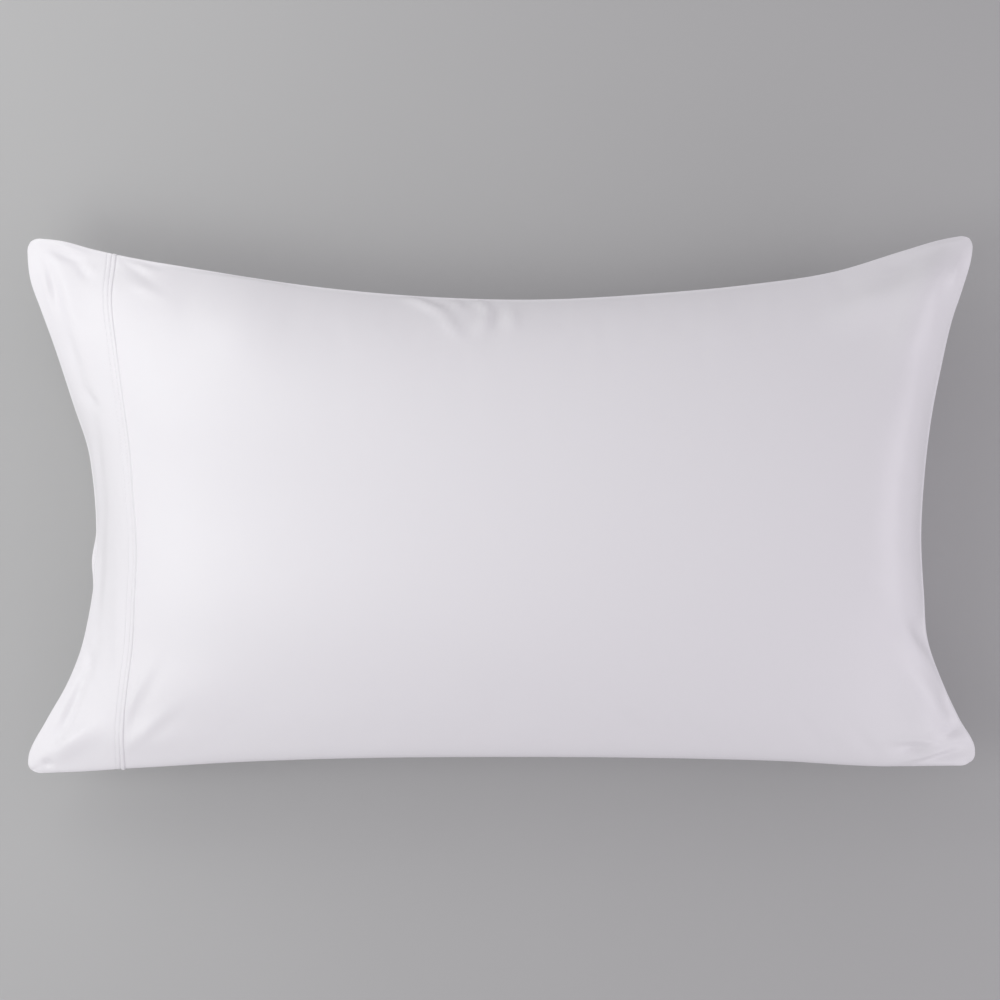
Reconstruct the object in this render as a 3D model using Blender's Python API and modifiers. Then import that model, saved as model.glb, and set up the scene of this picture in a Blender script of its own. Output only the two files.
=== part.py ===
"""A plain sateen pillowcase filled with a long bed pillow, lying on its back, as one closed solid.

X runs along the case, from its open hemmed end at -X to its sewn end at +X. Y runs across it, and
Z is up, out of its face. The origin is under the middle of the case, on the surface it lies on.
"""

from collections import namedtuple

import bmesh
import bpy
import numpy as np
from mathutils import Matrix, Vector

# Driving dimensions of the filled case, in metres.
LENGTH = 0.890  # corner to corner along X, of a case cut 914 mm long
WIDTH = 0.507  # corner to corner along Y, of a case cut 508 mm wide
FACE_CROWN = 0.107  # the face's middle above the seam
BACK_CROWN = 0.118  # the back's middle below the seam, before the floor flattens it
SEAM_HEIGHT = 0.079  # the seam above the floor, halfway along each side
CORNER_DROOP = 0.014  # how far the corners hang below that
CORNER_RADIUS = 0.012
SEAM_THICKNESS = 0.0026  # the pressed seam's four layers of cloth
MOUTH_GAP = 0.0032  # between the two hemmed edges of the open end, which lie almost shut
MOUTH_DEPTH = 0.014  # how far in that gap reaches before the filling closes it
MOUTH_SPAN = 0.9  # share of the width over which the end is open
FLOOR_BLEND = 0.007  # height over which the back turns onto the floor

END_SEAM = 0.0035  # share of the length that the pressed seam takes at each end

# How the fullness falls off towards the edges.
END_TURN = 0.021  # distance from an end, halfway up it, in which the cloth turns over
END_TURN_AT_CORNER = 0.066  # the same beside a corner, where the cloth lies flatter
END_FALL = 0.22  # share of the crown lost from the middle to the ends
SIDE_POWER = 0.56  # 0.5 would make the cross-section an ellipse
EAR_FLATNESS = 0.72  # share of the fullness that a corner loses

# The lower long side hangs over its own seam.
BELLY = 0.020  # strength of the bulge on the face
BACK_BELLY = 0.008
BELLY_REACH = 0.030  # share of the width in which it peaks
SEAM_TUCKED_IN = 0.010  # how far the seam lies inside the bulge's outline

# The hem's tuck is a stitched groove across the face and the back.
TUCK_DEPTH = 0.0034

HEM_COLUMNS = 6
BODY_COLUMNS = 24
ROWS = 16

# Each side's outline: how far it is drawn in from the line between its two corners, by the share of
# the way along it, from the hemmed end or from the lower side.
Drawn = namedtuple("Drawn", "share depth")
UPPER_SIDE = (
    Drawn(0.00, 0.0033),
    Drawn(0.04, 0.0068),
    Drawn(0.07, 0.0151),
    Drawn(0.11, 0.0228),
    Drawn(0.18, 0.0346),
    Drawn(0.32, 0.0532),
    Drawn(0.44, 0.0620),
    Drawn(0.53, 0.0637),
    Drawn(0.66, 0.0567),
    Drawn(0.76, 0.0490),
    Drawn(0.85, 0.0370),
    Drawn(0.92, 0.0170),
    Drawn(0.96, 0.0064),
    Drawn(1.00, 0.0000),
)
LOWER_SIDE = (
    Drawn(0.00, 0.0000),
    Drawn(0.06, -0.0010),
    Drawn(0.13, 0.0000),
    Drawn(0.22, 0.0038),
    Drawn(0.32, 0.0062),
    Drawn(0.51, 0.0080),
    Drawn(0.66, 0.0063),
    Drawn(0.79, 0.0043),
    Drawn(0.90, 0.0020),
    Drawn(0.96, 0.0042),
    Drawn(1.00, 0.0056),
)
HEMMED_END = (
    Drawn(0.00, 0.0000),
    Drawn(0.04, 0.0014),
    Drawn(0.10, 0.0200),
    Drawn(0.16, 0.0368),
    Drawn(0.22, 0.0508),
    Drawn(0.30, 0.0602),
    Drawn(0.37, 0.0652),
    Drawn(0.48, 0.0664),
    Drawn(0.57, 0.0629),
    Drawn(0.61, 0.0592),
    Drawn(0.70, 0.0433),
    Drawn(0.81, 0.0229),
    Drawn(0.87, 0.0107),
    Drawn(0.92, 0.0023),
    Drawn(1.00, 0.0000),
)
SEWN_END = (
    Drawn(0.00, 0.0000),
    Drawn(0.04, 0.0000),
    Drawn(0.09, 0.0147),
    Drawn(0.16, 0.0328),
    Drawn(0.24, 0.0493),
    Drawn(0.33, 0.0514),
    Drawn(0.43, 0.0542),
    Drawn(0.55, 0.0518),
    Drawn(0.67, 0.0446),
    Drawn(0.76, 0.0351),
    Drawn(0.85, 0.0246),
    Drawn(0.90, 0.0133),
    Drawn(0.96, 0.0048),
    Drawn(1.00, 0.0027),
)
# The tuck's line, in from the hemmed end's corners.
TUCK_LINE = (
    Drawn(0.00, 0.0935),
    Drawn(0.10, 0.0975),
    Drawn(0.18, 0.1035),
    Drawn(0.26, 0.1093),
    Drawn(0.33, 0.1123),
    Drawn(0.43, 0.1139),
    Drawn(0.56, 0.1108),
    Drawn(0.65, 0.1075),
    Drawn(0.73, 0.1009),
    Drawn(0.81, 0.0936),
    Drawn(0.91, 0.0855),
    Drawn(1.00, 0.0860),
)

# Soft folds of the face. A heading is in degrees from +X towards +Y; a height below 0 is a trough.
Fold = namedtuple("Fold", "x y heading length width height")
FOLDS = (
    Fold(-0.338, 0.212, -40, 0.050, 0.012, -0.0065),
    Fold(-0.416, 0.190, -76, 0.070, 0.014, -0.0060),
    Fold(-0.326, -0.190, 50, 0.080, 0.014, -0.0065),
    Fold(-0.316, -0.212, 42, 0.070, 0.012, 0.0045),
    Fold(-0.405, -0.222, 31, 0.055, 0.012, 0.0050),
    Fold(-0.095, 0.176, -50, 0.075, 0.022, 0.0060),
    Fold(-0.045, 0.170, -80, 0.070, 0.024, -0.0080),
    Fold(0.000, 0.172, -85, 0.060, 0.020, 0.0050),
    Fold(0.388, 0.224, -8, 0.060, 0.014, -0.0055),
    Fold(0.398, 0.186, 60, 0.110, 0.016, 0.0065),
    Fold(0.408, -0.183, 60, 0.060, 0.018, -0.0060),
    Fold(0.393, -0.218, 2, 0.060, 0.013, 0.0040),
)

SATEEN_COLOUR = (0.871, 0.863, 0.896, 1.0)  # a white with a cool tint
SATEEN_ROUGHNESS = 0.5


def clear_scene():
    for old in list(bpy.data.objects):
        bpy.data.objects.remove(old, do_unlink=True)


def sateen():
    material = bpy.data.materials.new("white_sateen")
    material.use_nodes = True
    shader = material.node_tree.nodes["Principled BSDF"]
    shader.inputs["Base Color"].default_value = SATEEN_COLOUR
    shader.inputs["Roughness"].default_value = SATEEN_ROUGHNESS
    shader.inputs["Metallic"].default_value = 0.0
    return material


def along(table, share):
    """The table's depth at a share, on a smooth curve through its rows."""
    shares, depths = np.array(table).T
    slopes = np.gradient(depths, shares)
    at = min(max(np.searchsorted(shares, share) - 1, 0), len(shares) - 2)
    step = shares[at + 1] - shares[at]
    t = (share - shares[at]) / step
    start = depths[at] * (1 + 2 * t) + slopes[at] * step * t
    end = depths[at + 1] * (3 - 2 * t) - slopes[at + 1] * step * (1 - t)
    return start * (1 - t) ** 2 + end * t**2


def between(start, end, share):
    return start + (end - start) * share


def crowded_to_ends(count):
    """Shares from 0 to 1, closest together at both ends."""
    return (1 - np.cos(np.linspace(0, np.pi, count + 1))) / 2


def inside_seam(share, first):
    """A share of the way across, restarted inside the pressed seam that is the first row."""
    return min(max((share - first) / (1 - 2 * first), 0.0), 1.0)


def rounded_corner(from_end, from_side):
    """Distances in from an end and a side, moved so that the outline's square corner is round."""
    beyond = 1 - np.array((from_end, from_side)) / CORNER_RADIUS
    if beyond.min() <= 0:
        return from_end, from_side
    return (1 - beyond * beyond.max() / np.hypot(*beyond)) * CORNER_RADIUS


class Layout:
    """Where each column and row of the cage lies, seen from above."""

    def __init__(self):
        self.rows = crowded_to_ends(ROWS)
        hem = crowded_to_ends(HEM_COLUMNS)[:-1]
        body = crowded_to_ends(BODY_COLUMNS)
        self.columns = [(share, True) for share in hem] + [(share, False) for share in body]

    def ends(self, row):
        share = self.rows[row]
        hemmed = -LENGTH / 2 + along(HEMMED_END, share)
        sewn = LENGTH / 2 - along(SEWN_END, share)
        return hemmed, sewn

    def x(self, column, row):
        hemmed, sewn = self.ends(row)
        tuck = -LENGTH / 2 + along(TUCK_LINE, self.rows[row])
        share, in_hem = self.columns[column]
        return between(hemmed, tuck, share) if in_hem else between(tuck, sewn, share)

    def sides(self, x):
        share = x / LENGTH + 0.5
        tucked_in = SEAM_TUCKED_IN * max(1 - (2 * share - 1) ** 2, 0) ** 0.5
        lower = -WIDTH / 2 + along(LOWER_SIDE, share) + tucked_in
        upper = WIDTH / 2 - along(UPPER_SIDE, share)
        return lower, upper


def fullness(from_hemmed, from_sewn, across):
    """Share of the crown at a point: its distances from both ends, and its share of the width."""
    off_middle = abs(2 * across - 1)
    turn = between(END_TURN, END_TURN_AT_CORNER, off_middle**2)
    off_centre = abs(from_hemmed - from_sewn) / (from_hemmed + from_sewn)
    ends = (1 - np.exp(-from_hemmed / turn)) * (1 - np.exp(-from_sewn / turn))
    ends *= 1 - END_FALL * off_centre**2
    sides = (4 * across * (1 - across)) ** SIDE_POWER
    ear = 1 - EAR_FLATNESS * off_centre**4 * off_middle**3
    return ends * sides * ear


def on_the_floor(height):
    """A height that would dip under the floor, turned smoothly onto it."""
    if height >= FLOOR_BLEND:
        return height
    return max(height + FLOOR_BLEND, 0) ** 2 / (4 * FLOOR_BLEND)


def mouth_depth(across):
    return MOUTH_DEPTH * max(1 - ((2 * across - 1) / MOUTH_SPAN) ** 2, 0) ** 0.5


def placed(layout, column, row, side):
    """The cage point at a column and row; side is 1 on the face, -1 on the back, 0 between."""
    x = layout.x(column, row)
    lower, upper = layout.sides(x)
    across = layout.rows[row]
    y = between(lower, upper, across)
    hemmed, sewn = layout.ends(row)
    length = sewn - hemmed
    along_share = inside_seam((x - hemmed) / length, END_SEAM)
    within = inside_seam(across, layout.rows[1])
    corner = (abs(2 * along_share - 1) * abs(2 * across - 1)) ** 3
    seam = SEAM_HEIGHT - CORNER_DROOP * corner
    full = fullness(along_share * length, (1 - along_share) * length, within)
    # The lower side's bulge over its seam fades out towards the corners.
    reach = within / BELLY_REACH
    belly = reach * np.exp(1 - reach) * max(1 - (2 * x / LENGTH) ** 2, 0) ** 0.5
    from_end, from_side = rounded_corner(min(x - hemmed, sewn - x), min(y - lower, upper - y))
    x = hemmed + from_end if along_share < 0.5 else sewn - from_end
    y = lower + from_side if across < 0.5 else upper - from_side
    if side == 0:
        inward = mouth_depth(across) if column == 0 else 0.0
        return Vector((x + inward, y, seam))
    half_seam = (MOUTH_GAP if column == 0 else SEAM_THICKNESS) / 2
    if side > 0:
        y -= BELLY * belly
        height = seam + half_seam + FACE_CROWN * full
    else:
        y -= BACK_BELLY * belly
        height = on_the_floor(seam - half_seam - BACK_CROWN * full)
    return Vector((x, y, height))


def fold_height(point):
    """How much the folds raise the face at a point."""
    raised = 0.0
    for fold in FOLDS:
        heading = np.radians(fold.heading)
        offset = np.array((point.x - fold.x, point.y - fold.y))
        run = offset @ (np.cos(heading), np.sin(heading))
        aside = offset @ (-np.sin(heading), np.cos(heading))
        bump = np.exp(-((aside / fold.width) ** 2) - (2 * run / fold.length) ** 2)
        raised += fold.height * bump
    return raised


def cage():
    """The closed cage: a face grid, a back grid and the strip between them that is the seam."""
    layout = Layout()
    columns = HEM_COLUMNS + BODY_COLUMNS
    mesh = bmesh.new()
    for side in (-1, 1):
        grid = bmesh.ops.create_grid(mesh, x_segments=columns, y_segments=ROWS, size=0.5)
        for vertex in grid["verts"]:
            vertex.co.z = side
    rims = [edge for edge in mesh.edges if edge.is_boundary]
    bmesh.ops.bridge_loops(mesh, edges=rims)
    uprights = [edge for edge in mesh.edges if edge.verts[0].co.z != edge.verts[1].co.z]
    bmesh.ops.subdivide_edges(mesh, edges=uprights, cuts=1)
    on_tuck, on_face = [], []
    for vertex in mesh.verts:
        column = round((vertex.co.x + 0.5) * columns)
        row = round((vertex.co.y + 0.5) * ROWS)
        side = round(vertex.co.z)
        vertex.co = placed(layout, column, row, side)
        if side != 0 and column == HEM_COLUMNS and vertex.co.z > FLOOR_BLEND:
            on_tuck.append(vertex)
        if side > 0:
            on_face.append(vertex)
    bmesh.ops.recalc_face_normals(mesh, faces=mesh.faces)
    mesh.normal_update()
    raised = {vertex: vertex.normal * fold_height(vertex.co) for vertex in on_face}
    for vertex in on_tuck:
        raised[vertex] = raised.get(vertex, Vector()) - vertex.normal * TUCK_DEPTH
    for vertex, shift in raised.items():
        vertex.co += shift
    return mesh


def stand_on_origin(part):
    """Moves the mesh so that its smoothed form is centred over the origin and rests on Z = 0."""
    bpy.context.view_layer.update()
    smoothed = part.evaluated_get(bpy.context.evaluated_depsgraph_get())
    points = np.array([vertex.co for vertex in smoothed.data.vertices])
    lowest, highest = points.min(axis=0), points.max(axis=0)
    middle = (lowest + highest) / 2
    part.data.transform(Matrix.Translation((-middle[0], -middle[1], -lowest[2])))


def build():
    clear_scene()
    parts = bpy.data.collections.new("pillowcase")
    bpy.context.scene.collection.children.link(parts)
    mesh = bpy.data.meshes.new("pillowcase")
    shape = cage()
    shape.to_mesh(mesh)
    shape.free()
    mesh.shade_smooth()
    mesh.materials.append(sateen())
    part = bpy.data.objects.new("pillowcase", mesh)
    parts.objects.link(part)
    smooth = part.modifiers.new("smooth", "SUBSURF")
    smooth.levels = 1
    smooth.render_levels = 1
    stand_on_origin(part)


build()
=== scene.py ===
from collections import namedtuple

import bpy
import numpy as np
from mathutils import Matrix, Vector


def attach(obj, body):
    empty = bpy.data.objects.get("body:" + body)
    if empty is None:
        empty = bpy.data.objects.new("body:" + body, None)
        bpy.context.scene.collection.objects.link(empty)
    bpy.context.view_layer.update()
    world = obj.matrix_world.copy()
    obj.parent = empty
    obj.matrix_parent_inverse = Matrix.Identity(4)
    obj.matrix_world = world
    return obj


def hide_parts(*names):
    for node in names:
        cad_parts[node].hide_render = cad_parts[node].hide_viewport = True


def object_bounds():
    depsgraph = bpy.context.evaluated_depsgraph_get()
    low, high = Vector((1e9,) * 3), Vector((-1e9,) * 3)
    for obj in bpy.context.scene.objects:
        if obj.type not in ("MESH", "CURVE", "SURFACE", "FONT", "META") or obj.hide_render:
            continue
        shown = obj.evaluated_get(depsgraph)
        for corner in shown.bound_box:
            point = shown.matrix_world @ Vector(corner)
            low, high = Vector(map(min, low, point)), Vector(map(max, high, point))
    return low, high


# A plain white sateen pillowcase, filled with a long bed pillow and lying on its back.
# X runs along the case, from its open hemmed end at -X to its sewn end at +X. Y runs across it and
# Z is up, out of its face. Every size is in metres.

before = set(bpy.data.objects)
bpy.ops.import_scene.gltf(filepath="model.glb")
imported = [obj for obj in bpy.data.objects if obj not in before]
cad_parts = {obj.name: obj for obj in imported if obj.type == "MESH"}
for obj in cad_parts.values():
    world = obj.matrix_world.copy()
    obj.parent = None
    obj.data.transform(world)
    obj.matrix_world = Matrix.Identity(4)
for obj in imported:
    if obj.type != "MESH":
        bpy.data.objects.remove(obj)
CAD_LOW, CAD_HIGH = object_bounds()

# Driving dimensions of the filled case.
ROUNDED_OFF_LENGTH = 0.0040  # what the round corners take off the case's box
ROUNDED_OFF_WIDTH = 0.0073
LENGTH = CAD_HIGH.x - CAD_LOW.x + ROUNDED_OFF_LENGTH
WIDTH = CAD_HIGH.y - CAD_LOW.y + ROUNDED_OFF_WIDTH
FACE_CROWN = 0.107  # the face's middle above the seam
BACK_CROWN = 0.118  # the back's middle below the seam, before the floor flattens it
SEAM_HEIGHT = 0.079  # the seam above the floor, halfway along each side
CORNER_DROOP = 0.014  # how far the corners hang below that
CORNER_RADIUS = 0.012
FLOOR_BLEND = 0.007  # height over which the back turns onto the floor

# How the fullness falls off towards the edges.
# Each end turns over in two distances, a quick one and a shoulder. The quick one is longer beside
# the corners, and at the hemmed end the shoulder is too.
Turn = namedtuple("Turn", "quick shoulder shoulder_share")
HEMMED_MIDDLE = Turn(0.022, 0.065, 0.5)
HEMMED_CORNER = Turn(0.066, 0.120, 0.5)
SEWN_MIDDLE = Turn(0.017, 0.055, 0.3)
SEWN_CORNER = Turn(0.023, 0.055, 0.3)
END_FALL = 0.22  # share of the crown lost from the middle to the ends
SIDE_POWER = 0.56  # 0.5 would make the cross-section an ellipse
SIDE_POWER_AT_ENDS = 0.8
SIDE_SOFTNESS = 0.06  # how gently the cloth sets off from the seam
EAR_FLATNESS = 0.72  # share of the fullness that a corner loses

# The lower long side hangs over its own seam.
BELLY = 0.014  # strength of the bulge on the face
BACK_BELLY = 0.008
BELLY_REACH = 0.030  # share of the width in which it peaks
SEAM_TUCKED_IN = 0.010  # how far the seam lies inside the bulge's outline

SEAM_THICKNESS = 0.0016  # of the sewn edge, whose layers of cloth are pressed together

# The open end: two hemmed edges that lie almost shut over the filling.
HEM_FOLD = 0.0014  # thickness of each folded edge
MOUTH_GAP = 0.0032  # between the two edges
MOUTH_DEPTH = 0.014  # how far in the gap reaches
MOUTH_WALL = ((0.40, 0.5), (0.85, 0.4))  # points on it: share of the depth in, of the gap up
MOUTH_SPAN = 0.9  # share of the width over which the end is open
PEEP_AT = 0.405  # share of the width where the back's edge shows past the face's
PEEP_WIDTH = 0.040
PEEP = 0.0042  # how far it shows there
MOUTH_FADE = 0.020  # distance in from the end over which its shape turns into the body's

# The hem's tuck: a narrow fold of cloth with its edge on the body's side and its stitching behind.
TUCK_WIDTH = 0.0038  # from the row of stitches to the fold's edge
TUCK_RISE = 0.25  # share of that in which it stands up from the stitches
TUCK_THICKNESS = (  # how far it stands up, by the share of the width
    (0.00, 0.0011),
    (0.20, 0.0006),
    (0.35, 0.0009),
    (0.60, 0.0009),
    (0.75, 0.0004),
    (0.90, 0.0005),
    (1.00, 0.0008),
)
TUCK_EDGE = 0.0004  # distance in which the fold's edge drops
TUCK_SHADOW_DIP = 0.0003  # how far the body's cloth is drawn down beside the edge
TUCK_SHADOW_WIDTH = 0.0012
STITCH_DIP = 0.0008  # how far the stitches draw the cloth in, near the seams
STITCH_DIP_WIDTH = 0.0006
TAUT_STITCHES = 0.15  # share of that halfway up, where the cloth is taut
INNER_ROW = 0.5  # share of that at the hem's inner row
SECOND_ROW = 0.0083  # the hem's inner row of stitches, behind the fold's edge
TUCK_REACH = 0.0104  # half the width of the finely meshed strip along the tuck

# Stitches: twelve to the inch is about 2.1 mm each.
STITCH_PITCH = 0.0021
STITCH_GAP = 0.0004
THREAD_RADIUS = 0.00022
THREAD_SIDES = 6
TWIST_PITCH = 0.0028  # about 1.1 mm in real thread, and drawn coarser, so that it shows
WAVE_RADIANS = 10  # how far a wave texture turns over one unit of its scaled place
# A stitch along its length: how thick it is and how high its middle lies, in thread radii.
Ring = namedtuple("Ring", "share thickness height")
STITCH_RINGS = (
    Ring(0.00, 0.55, -0.90),
    Ring(0.13, 0.90, 0.10),
    Ring(0.50, 1.00, 0.45),
    Ring(0.87, 0.90, 0.10),
    Ring(1.00, 0.55, -0.90),
)

# The weave: a 4/1 sateen, whose smooth face is floats that pass over four yarns and under one.
# Real yarns are about 0.15 mm apart. They are drawn four times as coarse, so that they show.
YARN_PITCH = 0.0006
FLOAT_YARNS = 5
FLOAT_SHIFT = 0.4  # each float starts this share of its length past its neighbour
GROOVE_SHARE = 0.35  # half the width of the groove between two rows, as a share of a yarn
DIP_SHARE = 0.12  # half the length of the dip between two floats, as a share of a float
WEAVE_RELIEF = 0.00004
SLUB_LENGTH = 0.030  # thick and thin places along a yarn
SLUB_WIDTH = 0.0012
SHADE_SIZE = 0.11  # broad cloudiness from washing and pressing
PAPER_CLOUDS = 0.4  # size of the paper floor's cloudiness

# Each side's outline: how far it is drawn in from the line between its two corners, by the share of
# the way along it, from the hemmed end or from the lower side.
Drawn = namedtuple("Drawn", "share depth")
UPPER_SIDE = (
    Drawn(0.00, 0.0059),
    Drawn(0.04, 0.0097),
    Drawn(0.07, 0.0170),
    Drawn(0.11, 0.0250),
    Drawn(0.18, 0.0359),
    Drawn(0.32, 0.0545),
    Drawn(0.44, 0.0632),
    Drawn(0.53, 0.0651),
    Drawn(0.66, 0.0593),
    Drawn(0.76, 0.0508),
    Drawn(0.85, 0.0383),
    Drawn(0.92, 0.0192),
    Drawn(0.96, 0.0085),
    Drawn(1.00, 0.0021),
)
LOWER_SIDE = (
    Drawn(0.00, 0.0009),
    Drawn(0.06, 0.0002),
    Drawn(0.13, 0.0030),
    Drawn(0.22, 0.0081),
    Drawn(0.32, 0.0119),
    Drawn(0.51, 0.0141),
    Drawn(0.66, 0.0129),
    Drawn(0.79, 0.0094),
    Drawn(0.90, 0.0042),
    Drawn(0.96, 0.0063),
    Drawn(1.00, 0.0085),
)
HEMMED_END = (
    Drawn(0.00, 0.0034),
    Drawn(0.04, 0.0050),
    Drawn(0.10, 0.0216),
    Drawn(0.16, 0.0397),
    Drawn(0.22, 0.0527),
    Drawn(0.30, 0.0626),
    Drawn(0.37, 0.0678),
    Drawn(0.48, 0.0694),
    Drawn(0.57, 0.0658),
    Drawn(0.61, 0.0627),
    Drawn(0.70, 0.0476),
    Drawn(0.81, 0.0281),
    Drawn(0.87, 0.0164),
    Drawn(0.92, 0.0069),
    Drawn(1.00, 0.0023),
)
SEWN_END = (
    Drawn(0.00, 0.0046),
    Drawn(0.04, 0.0046),
    Drawn(0.09, 0.0190),
    Drawn(0.16, 0.0356),
    Drawn(0.24, 0.0494),
    Drawn(0.33, 0.0533),
    Drawn(0.43, 0.0559),
    Drawn(0.55, 0.0532),
    Drawn(0.67, 0.0459),
    Drawn(0.76, 0.0368),
    Drawn(0.85, 0.0255),
    Drawn(0.90, 0.0165),
    Drawn(0.96, 0.0071),
    Drawn(1.00, 0.0050),
)
# The tuck's line, in from the hemmed end's corners.
TUCK_LINE = (
    Drawn(0.00, 0.0944),
    Drawn(0.10, 0.0980),
    Drawn(0.18, 0.1036),
    Drawn(0.26, 0.1088),
    Drawn(0.33, 0.1112),
    Drawn(0.43, 0.1142),
    Drawn(0.56, 0.1103),
    Drawn(0.65, 0.1061),
    Drawn(0.73, 0.0998),
    Drawn(0.81, 0.0930),
    Drawn(0.91, 0.0855),
    Drawn(1.00, 0.0863),
)

# Soft folds of the face. A heading is in degrees from +X towards +Y; a height below 0 is a trough.
Fold = namedtuple("Fold", "x y heading length width height")
# Broad swells of the body beside the hem.
BODY_SWELLS = (
    Fold(-0.237, 0.175, -79, 0.098, 0.0410, 0.0042),
    Fold(-0.295, -0.176, 4, 0.128, 0.0317, 0.0036),
    Fold(-0.330, -0.216, 2, 0.091, 0.0140, 0.0017),
)
# Folds that run into the body from the tuck's upper end.
UPPER_TUCK_FOLDS = (
    Fold(-0.336, 0.214, -35, 0.034, 0.0028, -0.0015),
    Fold(-0.328, 0.224, -18, 0.027, 0.0024, -0.0012),
    Fold(-0.329, 0.219, -24, 0.022, 0.0030, 0.0007),
    Fold(-0.331, 0.199, -27, 0.033, 0.0047, 0.0012),
)
# Folds that rise into the body from the tuck's lower end.
LOWER_TUCK_FOLDS = (
    Fold(-0.353, -0.115, 89, 0.112, 0.0056, 0.0010),
    Fold(-0.331, -0.167, 63, 0.056, 0.0051, 0.0016),
    Fold(-0.327, -0.178, 62, 0.061, 0.0061, -0.0015),
    Fold(-0.324, -0.205, 43, 0.050, 0.0056, 0.0024),
    Fold(-0.311, -0.205, 38, 0.037, 0.0070, -0.0010),
)
# The hem's upper corner: the ear's fullness and its creases.
HEMMED_UPPER_CORNER = (
    Fold(-0.401, 0.172, -71, 0.105, 0.0140, 0.0040),
    Fold(-0.409, 0.233, -25, 0.029, 0.0043, -0.0028),
    Fold(-0.403, 0.239, -22, 0.030, 0.0034, 0.0010),
    Fold(-0.415, 0.200, -71, 0.045, 0.0047, -0.0038),
    Fold(-0.422, 0.194, -73, 0.053, 0.0037, 0.0012),
    Fold(-0.389, 0.216, -55, 0.019, 0.0037, -0.0016),
    Fold(-0.386, 0.221, -59, 0.011, 0.0028, 0.0009),
)
# Slack ripples along the open edge.
HEM_RIPPLES = (
    Fold(-0.396, 0.142, -73, 0.064, 0.0056, -0.0024),
    Fold(-0.379, 0.098, -48, 0.025, 0.0045, -0.0022),
    Fold(-0.372, 0.100, -25, 0.013, 0.0033, 0.0016),
    Fold(-0.372, 0.041, -85, 0.075, 0.0047, -0.0016),
    Fold(-0.372, -0.066, 86, 0.121, 0.0047, -0.0018),
    Fold(-0.383, -0.146, -80, 0.021, 0.0037, -0.0024),
)
# The hem's lower corner: a sharp ridge to its tip and a crease above it.
HEMMED_LOWER_CORNER = (
    Fold(-0.402, -0.222, 31, 0.061, 0.0121, 0.0066),
    Fold(-0.401, -0.218, 34, 0.060, 0.0042, 0.0009),
    Fold(-0.424, -0.242, -40, 0.007, 0.0030, -0.0026),
    Fold(-0.399, -0.188, 67, 0.084, 0.0045, -0.0042),
)
# Gathers that hang from the middle of the upper seam.
UPPER_SEAM_GATHERS = (
    Fold(-0.072, 0.184, -26, 0.036, 0.0039, 0.0036),
    Fold(-0.047, 0.164, -53, 0.032, 0.0048, 0.0026),
    Fold(-0.060, 0.188, -22, 0.030, 0.0035, -0.0012),
    Fold(-0.041, 0.184, -60, 0.012, 0.0032, 0.0024),
    Fold(-0.027, 0.185, -34, 0.017, 0.0039, -0.0008),
    Fold(-0.017, 0.183, -50, 0.018, 0.0037, 0.0030),
    Fold(-0.015, 0.168, 68, 0.021, 0.0047, 0.0026),
    Fold(-0.005, 0.170, 90, 0.029, 0.0041, -0.0014),
    Fold(0.010, 0.170, -88, 0.023, 0.0045, 0.0024),
)
# The sewn end's upper corner: a plump ear with a ridge to its tip.
SEWN_UPPER_CORNER = (
    Fold(0.398, 0.211, 46, 0.068, 0.0158, 0.0090),
    Fold(0.383, 0.175, 60, 0.078, 0.0205, 0.0090),
    Fold(0.347, 0.185, 24, 0.078, 0.0168, 0.0075),
    Fold(0.421, 0.215, 68, 0.034, 0.0074, 0.0035),
    Fold(0.429, 0.221, 71, 0.032, 0.0047, -0.0010),
)
# The sewn end's lower corner: a full ear, creased along both seams.
SEWN_LOWER_CORNER = (
    Fold(0.387, -0.119, -56, 0.032, 0.0088, -0.0032),
    Fold(0.384, -0.134, -55, 0.054, 0.0065, 0.0020),
    Fold(0.413, -0.187, -65, 0.035, 0.0065, -0.0026),
    Fold(0.418, -0.212, 15, 0.021, 0.0043, -0.0034),
    Fold(0.390, -0.219, -1, 0.052, 0.0043, 0.0028),
    Fold(0.382, -0.227, 0, 0.022, 0.0050, -0.0040),
    Fold(0.399, -0.231, 17, 0.052, 0.0043, 0.0032),
    Fold(0.411, -0.236, 12, 0.035, 0.0035, -0.0030),
    Fold(0.392, -0.187, -66, 0.067, 0.0186, 0.0060),
)
FOLDS = (
    *BODY_SWELLS,
    *UPPER_TUCK_FOLDS,
    *LOWER_TUCK_FOLDS,
    *HEMMED_UPPER_CORNER,
    *HEM_RIPPLES,
    *HEMMED_LOWER_CORNER,
    *UPPER_SEAM_GATHERS,
    *SEWN_UPPER_CORNER,
    *SEWN_LOWER_CORNER,
)

FOLD_FADE = 0.003  # distance from the seam in which the folds come up

# The mesh. Each side is a grid, closer together towards its edges and along the tuck.
ROWS = 136
HEM_COLUMNS = 20
TUCK_COLUMNS = 42
BODY_COLUMNS = 190
EVENNESS = 0.45  # 1 would space the rows evenly, 0 would crowd them onto the edges
LIP_STEPS = 16

# The settling of the cloth over its filling, simulated on a coarser grid.
CLOTH_ROWS = 84
CLOTH_COLUMNS = 148
CLOTH_FRAMES = 20
CLOTH_PRESSURE = 4.0
CLOTH_EASE = 0.016  # share by which the cloth is roomier than its drawn shape
SWELLING_SIZE = 0.045  # what is broader than this in the result is swelling, and is left out
WRINKLE_SHARE = 0.3  # share of the rest that is kept
WRINKLE_CAP = 0.0012  # how far a point may move
WRINKLE_REACH = (0.025, 0.080)  # distances from the seam over which the filling smooths them out
SMOOTHED_SHARE = 0.2  # share of them that is left in the middle
FLOOR_HOLD = 3 * FLOOR_BLEND  # height below which the floor presses them flat
HEM_STIFFNESS = 0.5  # share of the wrinkles that the hem's doubled cloth takes up

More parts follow.
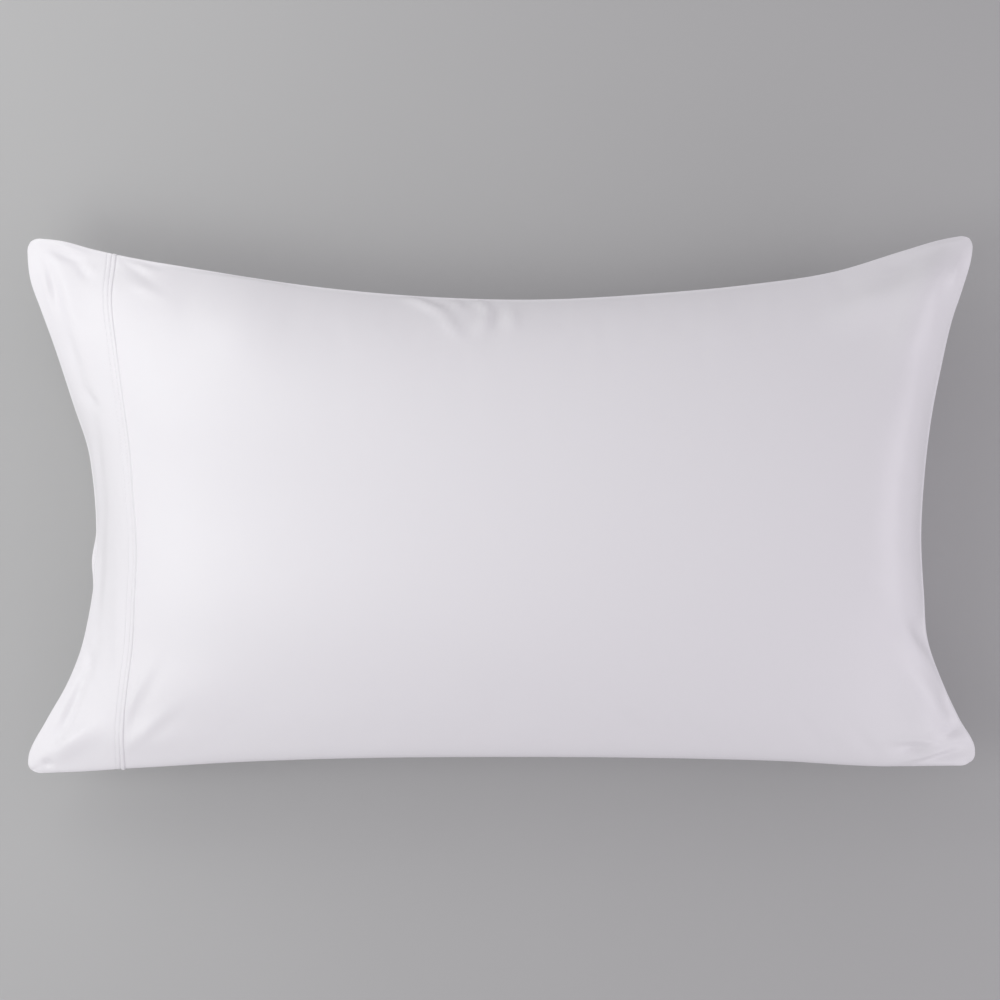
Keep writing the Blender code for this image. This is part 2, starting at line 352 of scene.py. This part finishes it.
# The studio. Its key lights stand beyond the hemmed end and its fill lights beyond the sewn end.
KEY_TINT = (0.97, 1, 0.96)
FILL_TINT = (0.98, 0.95, 1)
LIT_POINT = (0, 0, 0.1)  # what every light points at
ALL_ROUND = 0.546  # strength of the light from all round
FLOOR_RADIUS = 14.0
FLOOR_SIDES = 96

CAMERA_HEIGHT = 2.6
PHOTO_PIXEL = 0.000931  # metres across a pixel at the seam's height
PHOTO_MIDDLE = (501.5, 503.75)  # the pixel over the case's middle
PHOTO_SIZE = 1000
SENSOR = 36.0  # its width in mm


def between(start, end, share):
    return start + (end - start) * share


def smoothly(low, high, value):
    """From 0 below low to 1 above high, without corners."""
    t = np.clip((value - low) / (high - low), 0, 1)
    return t * t * (3 - 2 * t)


def bell(value, middle, width):
    return np.exp(-(((value - middle) / width) ** 2))


def along(table, share):
    """The table's depths at some shares, on a smooth curve through its rows."""
    shares, depths = np.array(table).T
    slopes = np.gradient(depths, shares)
    at = np.clip(np.searchsorted(shares, share) - 1, 0, len(shares) - 2)
    step = shares[at + 1] - shares[at]
    t = (share - shares[at]) / step
    start = depths[at] * (1 + 2 * t) + slopes[at] * step * t
    end = depths[at + 1] * (3 - 2 * t) - slopes[at + 1] * step * (1 - t)
    return start * (1 - t) ** 2 + end * t**2


def crowded_to_start(count):
    """Shares from 0 to 1 that lie closer together at the start."""
    even = np.linspace(0, 1, count + 1)
    return between(1 - np.cos(np.pi / 2 * even), even, EVENNESS)


def crowded_to_both(count):
    """Shares from 0 to 1 that lie closer together at the start and at the end."""
    even = np.linspace(0, 1, count + 1)
    return between((1 - np.cos(np.pi * even)) / 2, even, EVENNESS)


def ends(across):
    """X of the hemmed and of the sewn end, at some shares of the width."""
    return -LENGTH / 2 + along(HEMMED_END, across), LENGTH / 2 - along(SEWN_END, across)


def tuck_line(across):
    return -LENGTH / 2 + along(TUCK_LINE, across)


def sides(x):
    """Y of the lower and of the upper side."""
    share = np.clip(x / LENGTH + 0.5, 0, 1)
    tucked_in = SEAM_TUCKED_IN * np.sqrt(1 - (2 * share - 1) ** 2)
    return -WIDTH / 2 + along(LOWER_SIDE, share) + tucked_in, WIDTH / 2 - along(UPPER_SIDE, share)


def risen(inwards, middle, corner, off_middle):
    """Share of the crown that the cloth reaches so far in from an end."""
    turn = Turn(*(between(m, c, off_middle**2) for m, c in zip(middle, corner)))
    quick = np.exp(-inwards / turn.quick)
    shoulder = np.exp(-inwards / turn.shoulder)
    return 1 - between(quick, shoulder, turn.shoulder_share)


def fullness(from_hemmed, from_sewn, across):
    """Share of the crown: by the distances from both ends, and the share of the width."""
    off_middle = np.abs(2 * across - 1)
    off_centre = np.abs(from_hemmed - from_sewn) / (from_hemmed + from_sewn)
    ends_share = risen(from_hemmed, HEMMED_MIDDLE, HEMMED_CORNER, off_middle)
    ends_share *= risen(from_sewn, SEWN_MIDDLE, SEWN_CORNER, off_middle)
    ends_share *= 1 - END_FALL * off_centre**2
    power = between(SIDE_POWER, SIDE_POWER_AT_ENDS, off_centre**2)
    start = SIDE_SOFTNESS**power
    sides_share = (4 * across * (1 - across) + SIDE_SOFTNESS) ** power - start
    sides_share /= (1 + SIDE_SOFTNESS) ** power - start
    ear = 1 - EAR_FLATNESS * off_centre**4 * off_middle**3
    return ends_share * sides_share * ear


def rounded_corner(from_end, from_side):
    """Distances in from an end and a side, moved so that the outline's square corner is round."""
    past_end = 1 - from_end / CORNER_RADIUS
    past_side = 1 - from_side / CORNER_RADIUS
    in_corner = np.minimum(past_end, past_side) > 0
    pull = np.maximum(past_end, past_side) / np.maximum(np.hypot(past_end, past_side), 1e-9)
    end = np.where(in_corner, (1 - past_end * pull) * CORNER_RADIUS, from_end)
    side = np.where(in_corner, (1 - past_side * pull) * CORNER_RADIUS, from_side)
    return end, side


def on_the_floor(height):
    """Heights that would dip under the floor, turned smoothly onto it."""
    resting = np.maximum(height + FLOOR_BLEND, 0) ** 2 / (4 * FLOOR_BLEND)
    return np.where(height >= FLOOR_BLEND, height, resting)


def mouth(across):
    """How open the hemmed end is, from 0 near its corners to 1 halfway up it."""
    return np.sqrt(np.maximum(1 - ((2 * across - 1) / MOUTH_SPAN) ** 2, 0))


def half_edge(across):
    """Half the thickness of the case's edge at its hemmed end."""
    return between(SEAM_THICKNESS / 2, MOUTH_GAP / 2 + HEM_FOLD, mouth(across))


class Side:
    """The face (up = 1) or the back (up = -1) of the case, as a grid of rows and columns."""

    def __init__(self, across, columns, up):
        """columns turns the rows' shares of the width into X positions, one row for each."""
        self.up = up
        self.across = across[:, None]
        self.hemmed, self.sewn = ends(self.across)
        self.x = columns(self.across, self.hemmed, self.sewn)
        lower, upper = sides(self.x)
        y = between(lower, upper, self.across)
        self.from_hemmed = self.x - self.hemmed
        self.past_tuck = self.x - tuck_line(self.across)
        self.from_sewn = self.sewn - self.x
        self.from_side = np.minimum(y - lower, upper - y)
        self.from_edge = np.minimum(self.from_side, np.minimum(self.from_hemmed, self.from_sewn))
        self.points = self._shape(y, lower, upper)

    def _shape(self, y, lower, upper):
        hemmed_half = self.from_hemmed < self.from_sewn
        off_centre = np.abs(self.from_hemmed - self.from_sewn) / (self.sewn - self.hemmed)
        seam = SEAM_HEIGHT - CORNER_DROOP * (off_centre * np.abs(2 * self.across - 1)) ** 3
        reach = self.across / BELLY_REACH
        belly = reach * np.exp(1 - reach) * np.sqrt(np.maximum(1 - (2 * self.x / LENGTH) ** 2, 0))
        from_end, from_side = rounded_corner(
            np.minimum(self.from_hemmed, self.from_sewn), self.from_side
        )
        x = np.where(hemmed_half, self.hemmed + from_end, self.sewn - from_end)
        y = np.where(self.across < 0.5, lower + from_side, upper - from_side)
        y -= (BELLY if self.up > 0 else BACK_BELLY) * belly
        near_mouth = 1 - smoothly(0, MOUTH_FADE, self.from_hemmed)
        half = between(SEAM_THICKNESS / 2, half_edge(self.across), near_mouth)
        full = fullness(self.from_hemmed, self.from_sewn, self.across)
        if self.up > 0:
            z = seam + half + FACE_CROWN * full
        else:
            z = on_the_floor(seam - half - BACK_CROWN * full)
            x = x - PEEP * bell(self.across, PEEP_AT, PEEP_WIDTH) * near_mouth
        return np.stack([x, y, z], axis=-1)

    def normals(self):
        along_rows = np.gradient(self.points, axis=1)
        up_columns = np.gradient(self.points, axis=0)
        normal = np.cross(along_rows, up_columns) * self.up
        return normal / np.maximum(np.linalg.norm(normal, axis=-1, keepdims=True), 1e-12)

    def cloth(self):
        """Each point's distances along the cloth from the middle of the side, in X and in Y."""
        middle = (len(self.across) // 2, np.argmin(np.abs(self.x[len(self.across) // 2])))
        distances = []
        for axis in (1, 0):
            lengths = np.linalg.norm(np.diff(self.points, axis=axis), axis=-1)
            start = np.zeros_like(lengths.take([0], axis=axis))
            run = np.cumsum(np.concatenate([start, lengths], axis=axis), axis=axis)
            distances.append(run - run.take([middle[axis]], axis=axis))
        return np.stack([*distances, 0 * self.x], axis=-1)

    def raise_by(self, height):
        self.points += self.normals() * height[..., None]


def fold_heights(side):
    """How much the folds raise the face."""
    raised = np.zeros(side.x.shape)
    for fold in FOLDS:
        heading = np.radians(fold.heading)
        ahead = np.array((np.cos(heading), np.sin(heading)))
        offset = side.points[..., :2] - (fold.x, fold.y)
        run = offset @ ahead
        aside = offset @ (-ahead[1], ahead[0])
        raised += fold.height * bell(aside, 0, fold.width) * bell(2 * run, 0, fold.length)
    return raised * smoothly(0, FOLD_FADE, side.from_edge)


def tuck_heights(side):
    """The tuck and its two rows of stitching, by the distance from the fold's edge."""
    past = side.past_tuck
    flap = smoothly(-TUCK_WIDTH, -TUCK_WIDTH * (1 - TUCK_RISE), past)
    flap *= 1 - smoothly(-TUCK_EDGE, 0, past)
    height = along(TUCK_THICKNESS, side.across) * flap
    height -= TUCK_SHADOW_DIP * bell(past, TUCK_EDGE, TUCK_SHADOW_WIDTH) * (past > -TUCK_EDGE)
    slack = between(TAUT_STITCHES, 1, np.abs(2 * side.across - 1) ** 3)
    for row, share in ((TUCK_WIDTH, 1), (SECOND_ROW, INNER_ROW)):
        height -= STITCH_DIP * share * slack * bell(past, -row, STITCH_DIP_WIDTH)
    return height


def fine_columns(across, hemmed, sewn):
    tuck = tuck_line(across)
    hem = between(hemmed, tuck - TUCK_REACH, crowded_to_start(HEM_COLUMNS)[:-1])
    strip = tuck + np.linspace(-TUCK_REACH, TUCK_REACH, TUCK_COLUMNS + 1)
    body = between(sewn, tuck + TUCK_REACH, crowded_to_start(BODY_COLUMNS)[-2::-1])
    return np.hstack([hem, strip, body])


def even_columns(across, hemmed, sewn):
    return between(hemmed, sewn, np.linspace(0, 1, CLOTH_COLUMNS + 1))


def rim(shape):
    """Row and column numbers round a grid's edge, from its lower hemmed corner and on along X."""
    rows, columns = shape
    up = np.arange(rows)
    right = np.arange(columns)
    row = np.concatenate([0 * right[:-1], up[:-1], 0 * right[:-1] + rows - 1, up[:0:-1]])
    column = np.concatenate([right[:-1], 0 * up[:-1] + columns - 1, right[:0:-1], 0 * up[:-1]])
    return row, column


def grid_faces(numbers):
    return np.stack(
        [numbers[:-1, :-1], numbers[:-1, 1:], numbers[1:, 1:], numbers[1:, :-1]], axis=-1
    ).reshape(-1, 4)


def blurred(values, cells):
    """A grid's values, blurred over so many cells. They are 0 all round it, and stay so."""
    reach = int(3 * cells)
    weights = bell(np.arange(-reach, reach + 1), 0, cells)
    weights /= weights.sum()
    for axis in (0, 1):
        lines = np.moveaxis(values, axis, 0)
        before, after = -lines[reach:0:-1], -lines[-2 : -2 - reach : -1]
        padded = np.concatenate([before, lines, after])
        lines = sum(w * padded[at : at + len(lines)] for at, w in enumerate(weights))
        values = np.moveaxis(lines, 0, axis)
    return values


def sampled(values, row, column):
    """A grid's values at fractional rows and columns, on a smooth surface through it."""
    total = 0
    for near_row in range(-1, 3):
        for near_column in range(-1, 3):
            at_row, at_column = np.floor(row) + near_row, np.floor(column) + near_column
            weight = spline(row - at_row) * spline(column - at_column)
            at_row = np.clip(at_row, 0, values.shape[0] - 1).astype(int)
            at_column = np.clip(at_column, 0, values.shape[1] - 1).astype(int)
            total = total + weight[..., None] * values[at_row, at_column]
    return total


def spline(distance):
    """A cubic B-spline's weight of a point so many grid steps away."""
    d = np.abs(distance)
    return np.where(d < 1, 2 / 3 - d * d + d**3 / 2, np.maximum(2 - d, 0) ** 3 / 6)


def settled(points, faces, seam):
    """The points of the filled case after its filling has pressed its cloth out for a while."""
    mesh = bpy.data.meshes.new("settling")
    mesh.from_pydata(points, [], faces.tolist())
    case = bpy.data.objects.new("settling", mesh)
    bpy.context.scene.collection.objects.link(case)
    case.vertex_groups.new(name="seam").add(seam.tolist(), 1.0, "REPLACE")
    cloth = case.modifiers.new("cloth", "CLOTH").settings
    cloth.quality = 5
    cloth.use_pressure = True
    cloth.uniform_pressure_force = CLOTH_PRESSURE
    cloth.effector_weights.gravity = 0
    cloth.vertex_group_mass = "seam"
    cloth.shrink_min = cloth.shrink_max = -CLOTH_EASE
    for number in range(1, CLOTH_FRAMES + 1):
        bpy.context.scene.frame_set(number)
    result = case.evaluated_get(bpy.context.evaluated_depsgraph_get()).data
    moved = np.empty(points.size)
    result.vertices.foreach_get("co", moved)
    bpy.data.objects.remove(case)
    bpy.context.scene.frame_set(1)
    return moved.reshape(-1, 3)


def wrinkles():
    """Grids of how far each side's cloth moves as it settles, without its swelling."""
    across = np.linspace(0, 1, CLOTH_ROWS + 1)
    face, back = (Side(across, even_columns, up) for up in (1, -1))
    on_face = np.arange(face.x.size).reshape(face.x.shape)
    row, column = rim(face.x.shape)
    seam = on_face[row, column]
    on_back = on_face.copy()
    inner = (slice(1, -1), slice(1, -1))
    on_back[inner] = on_face.size + np.arange(on_back[inner].size).reshape(on_back[inner].shape)
    face.points[row, column] = (face.points[row, column] + back.points[row, column]) / 2
    points = np.vstack([face.points.reshape(-1, 3), back.points[inner].reshape(-1, 3)])
    faces = np.vstack([grid_faces(on_face), grid_faces(on_back)[:, ::-1]])
    moved = settled(points, faces, seam) - points
    cells = SWELLING_SIZE * CLOTH_COLUMNS / LENGTH
    grids = []
    for numbers in (on_face, on_back):
        wrinkled = WRINKLE_SHARE * (moved[numbers] - blurred(moved[numbers], cells))
        size = np.linalg.norm(wrinkled, axis=-1, keepdims=True)
        grids.append(wrinkled * WRINKLE_CAP / np.hypot(size, WRINKLE_CAP))
    return grids


def settle(side, wrinkled):
    along_share = side.from_hemmed / (side.sewn - side.hemmed)
    row = np.broadcast_to(side.across * CLOTH_ROWS, side.x.shape)
    moved = sampled(wrinkled, row, along_share * CLOTH_COLUMNS)
    in_hem = smoothly(0, -TUCK_REACH, side.past_tuck)[..., None]
    moved *= between(1, HEM_STIFFNESS, in_hem)
    moved *= between(1, SMOOTHED_SHARE, smoothly(*WRINKLE_REACH, side.from_edge))[..., None]
    if side.up < 0:
        moved *= smoothly(0, FLOOR_HOLD, side.points[..., 2])[..., None]
    side.points += moved


def edge_profiles():
    """Half of the edge's section, out and up from its middle, for a sewn and for an open edge."""
    angles = np.linspace(np.pi / 2, -np.pi / 2, LIP_STEPS + 1)
    sewn = np.stack([np.cos(angles), np.sin(angles)], axis=-1) * SEAM_THICKNESS / 2
    half = LIP_STEPS // 2
    turn = np.linspace(np.pi / 2, -np.pi / 2, half - len(MOUTH_WALL))
    fold = np.stack([np.cos(turn), np.sin(turn) + 1], axis=-1) * HEM_FOLD / 2
    fold[:, 1] += MOUTH_GAP / 2
    wall = np.array([(-inwards * MOUTH_DEPTH, up * MOUTH_GAP) for inwards, up in MOUTH_WALL])
    upper = np.vstack([fold, wall])
    open_edge = np.vstack([upper, [(-MOUTH_DEPTH, 0)], upper[::-1] * (1, -1)])
    return sewn, open_edge


def edge_rings(face, back):
    """The rings of points that join the face's edge to the back's: pressed seam and open mouth."""
    row, column = rim(face.x.shape)
    top, bottom = face.points[row, column], back.points[row, column]
    middle = (top + bottom) / 2
    run = np.roll(middle, -1, axis=0) - np.roll(middle, 1, axis=0)
    outward = np.stack([run[:, 1], -run[:, 0], 0 * run[:, 0]], axis=-1)
    outward /= np.linalg.norm(outward, axis=-1, keepdims=True)
    openness = np.where(column == 0, mouth(face.across[row, 0]), 0)[:, None]
    sewn, open_edge = edge_profiles()
    rings = []
    for step in range(1, LIP_STEPS):
        out, up = np.hsplit(between(sewn[step], open_edge[step], openness), 2)
        down = step / LIP_STEPS
        centre = np.where(openness > 0, np.where(down < 0.5, top, bottom), middle)
        centre[:, 2] = middle[:, 2]
        rings.append(centre + outward * out + np.array((0, 0, 1)) * up)
    return rings


def closed_mesh(name, face, back):
    """One closed mesh of both sides and the edge between them."""
    size = face.x.size
    numbers = np.arange(size).reshape(face.x.shape)
    row, column = rim(face.x.shape)
    rings = edge_rings(face, back)
    loop = np.arange(len(row))
    levels = [numbers[row, column]]
    levels += [2 * size + step * len(row) + loop for step in range(len(rings))]
    levels += [size + numbers[row, column]]
    strip = grid_faces(np.array([np.append(level, level[0]) for level in levels]).T)
    points = np.vstack([face.points.reshape(-1, 3), back.points.reshape(-1, 3), *rings])
    faces = np.vstack([grid_faces(numbers), size + grid_faces(numbers)[:, ::-1], strip])
    mesh = bpy.data.meshes.new(name)
    mesh.from_pydata(points, [], faces.tolist())
    mesh.shade_smooth()
    on_face, on_back = face.cloth(), back.cloth()
    half = len(rings) // 2
    cloth = [on_face.reshape(-1, 3), on_back.reshape(-1, 3)]
    cloth += [on_face[row, column]] * half + [on_back[row, column]] * (len(rings) - half)
    attribute = mesh.attributes.new("cloth", "FLOAT_VECTOR", "POINT")
    attribute.data.foreach_set("vector", np.vstack(cloth).ravel())
    return mesh


def stitch_rows(name, side):
    """Both rows of stitches that hold the hem on one side, as small closed lengths of thread."""
    normals = side.normals()
    shares, thickness, height = np.array(STITCH_RINGS).T
    ring = np.linspace(0, 2 * np.pi, THREAD_SIDES, endpoint=False)[:, None]
    stitches = []
    for behind in (TUCK_WIDTH, SECOND_ROW):
        at = HEM_COLUMNS + (TUCK_REACH - behind) / (2 * TUCK_REACH) * TUCK_COLUMNS
        left = int(at)
        line, up = (between(v[:, left], v[:, left + 1], at - left) for v in (side.points, normals))
        length = np.append(0, np.cumsum(np.linalg.norm(np.diff(line, axis=0), axis=1)))
        starts = np.arange(STITCH_PITCH, length[-1] - 2 * STITCH_PITCH, STITCH_PITCH)
        reach = (starts[:, None] + shares * (STITCH_PITCH - STITCH_GAP)).ravel()
        centre, up = (np.stack([np.interp(reach, length, v) for v in w.T], -1) for w in (line, up))
        ahead = np.gradient(centre, axis=0)
        aside = np.cross(ahead, up)
        aside /= np.linalg.norm(aside, axis=1, keepdims=True)
        lift = np.tile(height, len(starts))[:, None] * THREAD_RADIUS
        radius = np.tile(thickness, len(starts))[:, None] * THREAD_RADIUS
        centre = (centre + up * lift)[:, None]
        spread = np.cos(ring) * aside[:, None] + np.sin(ring) * up[:, None]
        stitches.append(centre + spread * radius[:, None])
    points = np.vstack(stitches).reshape(-1, len(shares), THREAD_SIDES, 3)
    points[..., 2] = np.maximum(points[..., 2], 0)
    numbers = np.arange(points[..., 0].size).reshape(points.shape[:3])
    wrapped = np.concatenate([numbers, numbers[..., :1]], axis=2)
    near, far = wrapped[:, :-1], wrapped[:, 1:]
    around = np.stack([near[..., :-1], far[..., :-1], far[..., 1:], near[..., 1:]], axis=-1)
    caps = numbers[:, 0].tolist() + numbers[:, -1, ::-1].tolist()
    mesh = bpy.data.meshes.new(name)
    mesh.from_pydata(points.reshape(-1, 3), [], around.reshape(-1, 4).tolist() + caps)
    mesh.shade_smooth()
    return mesh


def shown(name, mesh, material):
    mesh.materials.append(material)
    piece = bpy.data.objects.new(name, mesh)
    bpy.context.scene.collection.objects.link(piece)
    return piece


def linear(hex_colour):
    """A #RRGGBB colour in linear light, opaque."""
    parts = [int(hex_colour[at : at + 2], 16) / 255 for at in (1, 3, 5)]
    return *(((p + 0.055) / 1.055) ** 2.4 if p > 0.04045 else p / 12.92 for p in parts), 1.0


def node(tree, kind, settings=None, **inputs):
    """Adds a node with its settings, and sets or links its inputs by name or, as _0, by number.

    Gives the node's outputs.
    """
    made = tree.nodes.new("ShaderNode" + kind)
    for name, value in (settings or {}).items():
        setattr(made, name, value)
    for name, value in inputs.items():
        socket = made.inputs[int(name[1:]) if name[1:].isdigit() else name.replace("_", " ")]
        if isinstance(value, bpy.types.NodeSocket):
            tree.links.new(value, socket)
        else:
            socket.default_value = value
    return made.outputs


def finish_named(name, **settings):
    """A material, its node tree and its Principled shader's inputs."""
    material = bpy.data.materials.new(name)
    material.use_nodes = True
    shader = material.node_tree.nodes["Principled BSDF"].inputs
    for key, value in settings.items():
        shader[key.replace("_", " ")].default_value = value
    return material, material.node_tree, shader


def cotton_sateen():
    """Combed cotton woven in a 4/1 sateen, bleached, calendered and pressed.

    Its floats lie flat side by side, which gives the face a smooth hand and a soft, broad gloss.
    """
    material, tree, shader = finish_named(
        "cotton_sateen", IOR=1.5, Sheen_Weight=0.12, Sheen_Roughness=0.35
    )
    cloth = node(tree, "Attribute", {"attribute_name": "cloth"})["Vector"]
    x, y, _ = node(tree, "SeparateXYZ", _0=cloth)

    # A float is round across, dips under a yarn once in its length, and starts a step further on
    # in each row.
    along_yarns = node(tree, "Math", {"operation": "DIVIDE"}, _0=x, _1=YARN_PITCH)[0]
    up_yarns = node(tree, "Math", {"operation": "DIVIDE"}, _0=y, _1=YARN_PITCH)[0]
    row = node(tree, "Math", {"operation": "FLOOR"}, _0=up_yarns)[0]
    step = node(tree, "Math", {"operation": "MULTIPLY"}, _0=row, _1=FLOAT_SHIFT)[0]
    in_floats = {"_0": along_yarns, "_1": 1 / FLOAT_YARNS, "_2": step}
    reach = node(tree, "Math", {"operation": "MULTIPLY_ADD"}, **in_floats)[0]
    off_groove = node(tree, "Math", {"operation": "PINGPONG"}, _0=up_yarns, _1=0.5)[0]
    off_dip = node(tree, "Math", {"operation": "PINGPONG"}, _0=reach, _1=0.5)[0]
    eased = {"interpolation_type": "SMOOTHSTEP"}
    round_top = node(tree, "MapRange", eased, Value=off_groove, From_Max=GROOVE_SHARE)[0]
    over = node(tree, "MapRange", eased, Value=off_dip, From_Max=DIP_SHARE)[0]
    floats = node(tree, "Math", {"operation": "MULTIPLY"}, _0=round_top, _1=over)[0]

    drawn_out = (1 / SLUB_LENGTH, 1 / SLUB_WIDTH, 1)
    in_slubs = node(tree, "VectorMath", {"operation": "MULTIPLY"}, _0=cloth, _1=drawn_out)[0]
    slubs = node(tree, "TexNoise", Vector=in_slubs, Scale=1.0, Detail=2.0)[0]
    shades = node(tree, "TexNoise", Vector=cloth, Scale=1 / SHADE_SIZE, Detail=3.0)[0]
    colours = {"data_type": "RGBA"}
    white = node(tree, "Mix", colours, _0=shades, _6=linear("#F4F2F6"), _7=linear("#F6F4F8"))[2]
    white = node(tree, "Mix", colours, _0=slubs, _6=white, _7=linear("#F5F3F6"))[2]
    # Painted shade: the grooves between the rows of floats and the dips under a yarn take a darker
    # white.
    white = node(tree, "Mix", colours, _0=floats, _6=linear("#EEECF0"), _7=white)[2]
    tree.links.new(white, shader["Base Color"])

    # The noise mostly keeps to between 0.3 and 0.7.
    smoother_slubs = {"From_Min": 0.3, "From_Max": 0.7, "To_Min": 0.31, "To_Max": 0.37}
    gloss = node(tree, "MapRange", eased, Value=slubs, **smoother_slubs)[0]
    tree.links.new(gloss, shader["Roughness"])
    relief = node(tree, "Math", {"operation": "MULTIPLY_ADD"}, _0=slubs, _1=0.5, _2=floats)[0]
    bump = node(tree, "Bump", Strength=0.6, Distance=WEAVE_RELIEF, Height=relief)[0]
    tree.links.new(bump, shader["Normal"])
    return material


def polyester_thread():
    """Core-spun polyester, wound tight, so that it catches a harder light than the cloth."""
    material, tree, shader = finish_named("polyester_thread", IOR=1.55)
    place = node(tree, "TexCoord")["Object"]
    slanted = {"bands_direction": "DIAGONAL"}
    scale = 2 * np.pi / (WAVE_RADIANS * TWIST_PITCH)
    twist = node(tree, "TexWave", slanted, Vector=place, Scale=scale, Distortion=1.0)["Fac"]
    # Painted shade and light: the twist's bands are darker between its plies and lighter on their
    # crowns.
    colours = {"_6": linear("#E9E7EC"), "_7": linear("#F7F6F9")}
    white = node(tree, "Mix", {"data_type": "RGBA"}, _0=twist, **colours)[2]
    tree.links.new(white, shader["Base Color"])
    gloss = node(tree, "MapRange", _0=twist, To_Min=0.32, To_Max=0.45)[0]
    tree.links.new(gloss, shader["Roughness"])
    return material


def studio_floor():
    """Matte seamless paper, with the faint cloudiness of its pulp."""
    material, tree, shader = finish_named("seamless_paper", Roughness=0.9, IOR=1.5)
    place = node(tree, "TexCoord")["Object"]
    pulp = node(tree, "TexNoise", Vector=place, Scale=1 / PAPER_CLOUDS, Detail=4.0)[0]
    greys = {"_6": linear("#B8B8B8"), "_7": linear("#BCBCBC")}
    grey = node(tree, "Mix", {"data_type": "RGBA"}, _0=pulp, **greys)[2]
    tree.links.new(grey, shader["Base Color"])
    angles = np.linspace(0, 2 * np.pi, FLOOR_SIDES, endpoint=False)
    points = np.stack([np.cos(angles), np.sin(angles), 0 * angles], axis=-1) * FLOOR_RADIUS
    mesh = bpy.data.meshes.new("floor")
    mesh.from_pydata(points, [], [list(range(FLOOR_SIDES))])
    floor = shown("floor", mesh, material)


def soft_light(name, place, size, power, colour):
    data = bpy.data.lights.new(name, "AREA")
    data.shape = "SQUARE"
    data.size = size
    data.energy = power
    data.color = colour
    light = bpy.data.objects.new(name, data)
    light.location = place
    towards = Vector(LIT_POINT) - light.location
    light.rotation_euler = towards.to_track_quat("-Z", "Y").to_euler()
    light.visible_camera = False
    bpy.context.scene.collection.objects.link(light)


def studio():
    studio_floor()
    soft_light("key_above", (-0.80, 0.80, 0.75), size=0.8, power=3.92, colour=KEY_TINT)
    soft_light("key_below", (-1.06, -0.38, 0.75), size=0.8, power=1.90, colour=KEY_TINT)
    soft_light("key_high", (-0.78, -0.29, 1.10), size=0.8, power=2.45, colour=KEY_TINT)
    soft_light("fill", (2.25, 0, 0.58), size=1.2, power=7.5, colour=FILL_TINT)
    soft_light("fill_below", (1.59, -1.59, 0.58), size=1.2, power=5.3, colour=FILL_TINT)
    world = bpy.data.worlds.new("studio")
    world.use_nodes = True
    background = world.node_tree.nodes["Background"]
    background.inputs["Color"].default_value = (*FILL_TINT, 1)
    background.inputs["Strength"].default_value = ALL_ROUND
    bpy.context.scene.world = world
    bpy.context.scene.view_settings.view_transform = "Standard"


def camera():
    """Looks straight down on the face, as the photograph looks straight at it."""
    data = bpy.data.cameras.new("camera")
    data.sensor_width = SENSOR
    data.lens = SENSOR * (CAMERA_HEIGHT - SEAM_HEIGHT) / (PHOTO_SIZE * PHOTO_PIXEL)
    made = bpy.data.objects.new("camera", data)
    x = (PHOTO_SIZE / 2 - PHOTO_MIDDLE[0]) * PHOTO_PIXEL
    y = (PHOTO_MIDDLE[1] - PHOTO_SIZE / 2) * PHOTO_PIXEL
    made.location = (x, y, CAMERA_HEIGHT)
    bpy.context.scene.collection.objects.link(made)
    bpy.context.scene.camera = made


def pillowcase():
    across = crowded_to_both(ROWS)
    face = Side(across, fine_columns, 1)
    back = Side(across, fine_columns, -1)
    for side, wrinkled in zip((face, back), wrinkles()):
        settle(side, wrinkled)
    face.raise_by(fold_heights(face))
    for side in (face, back):
        side.raise_by(tuck_heights(side))
    back.points[..., 2] = np.maximum(back.points[..., 2], 0)
    mesh = closed_mesh("sateen_case", face, back)
    case = shown("sateen_case", mesh, cotton_sateen())
    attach(case, "root")
    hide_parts("pillowcase")
    thread = polyester_thread()
    for name, side in (("hem_stitches_face", face), ("hem_stitches_back", back)):
        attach(shown(name, stitch_rows(name, side), thread), "root")


camera()
studio()
pillowcase()
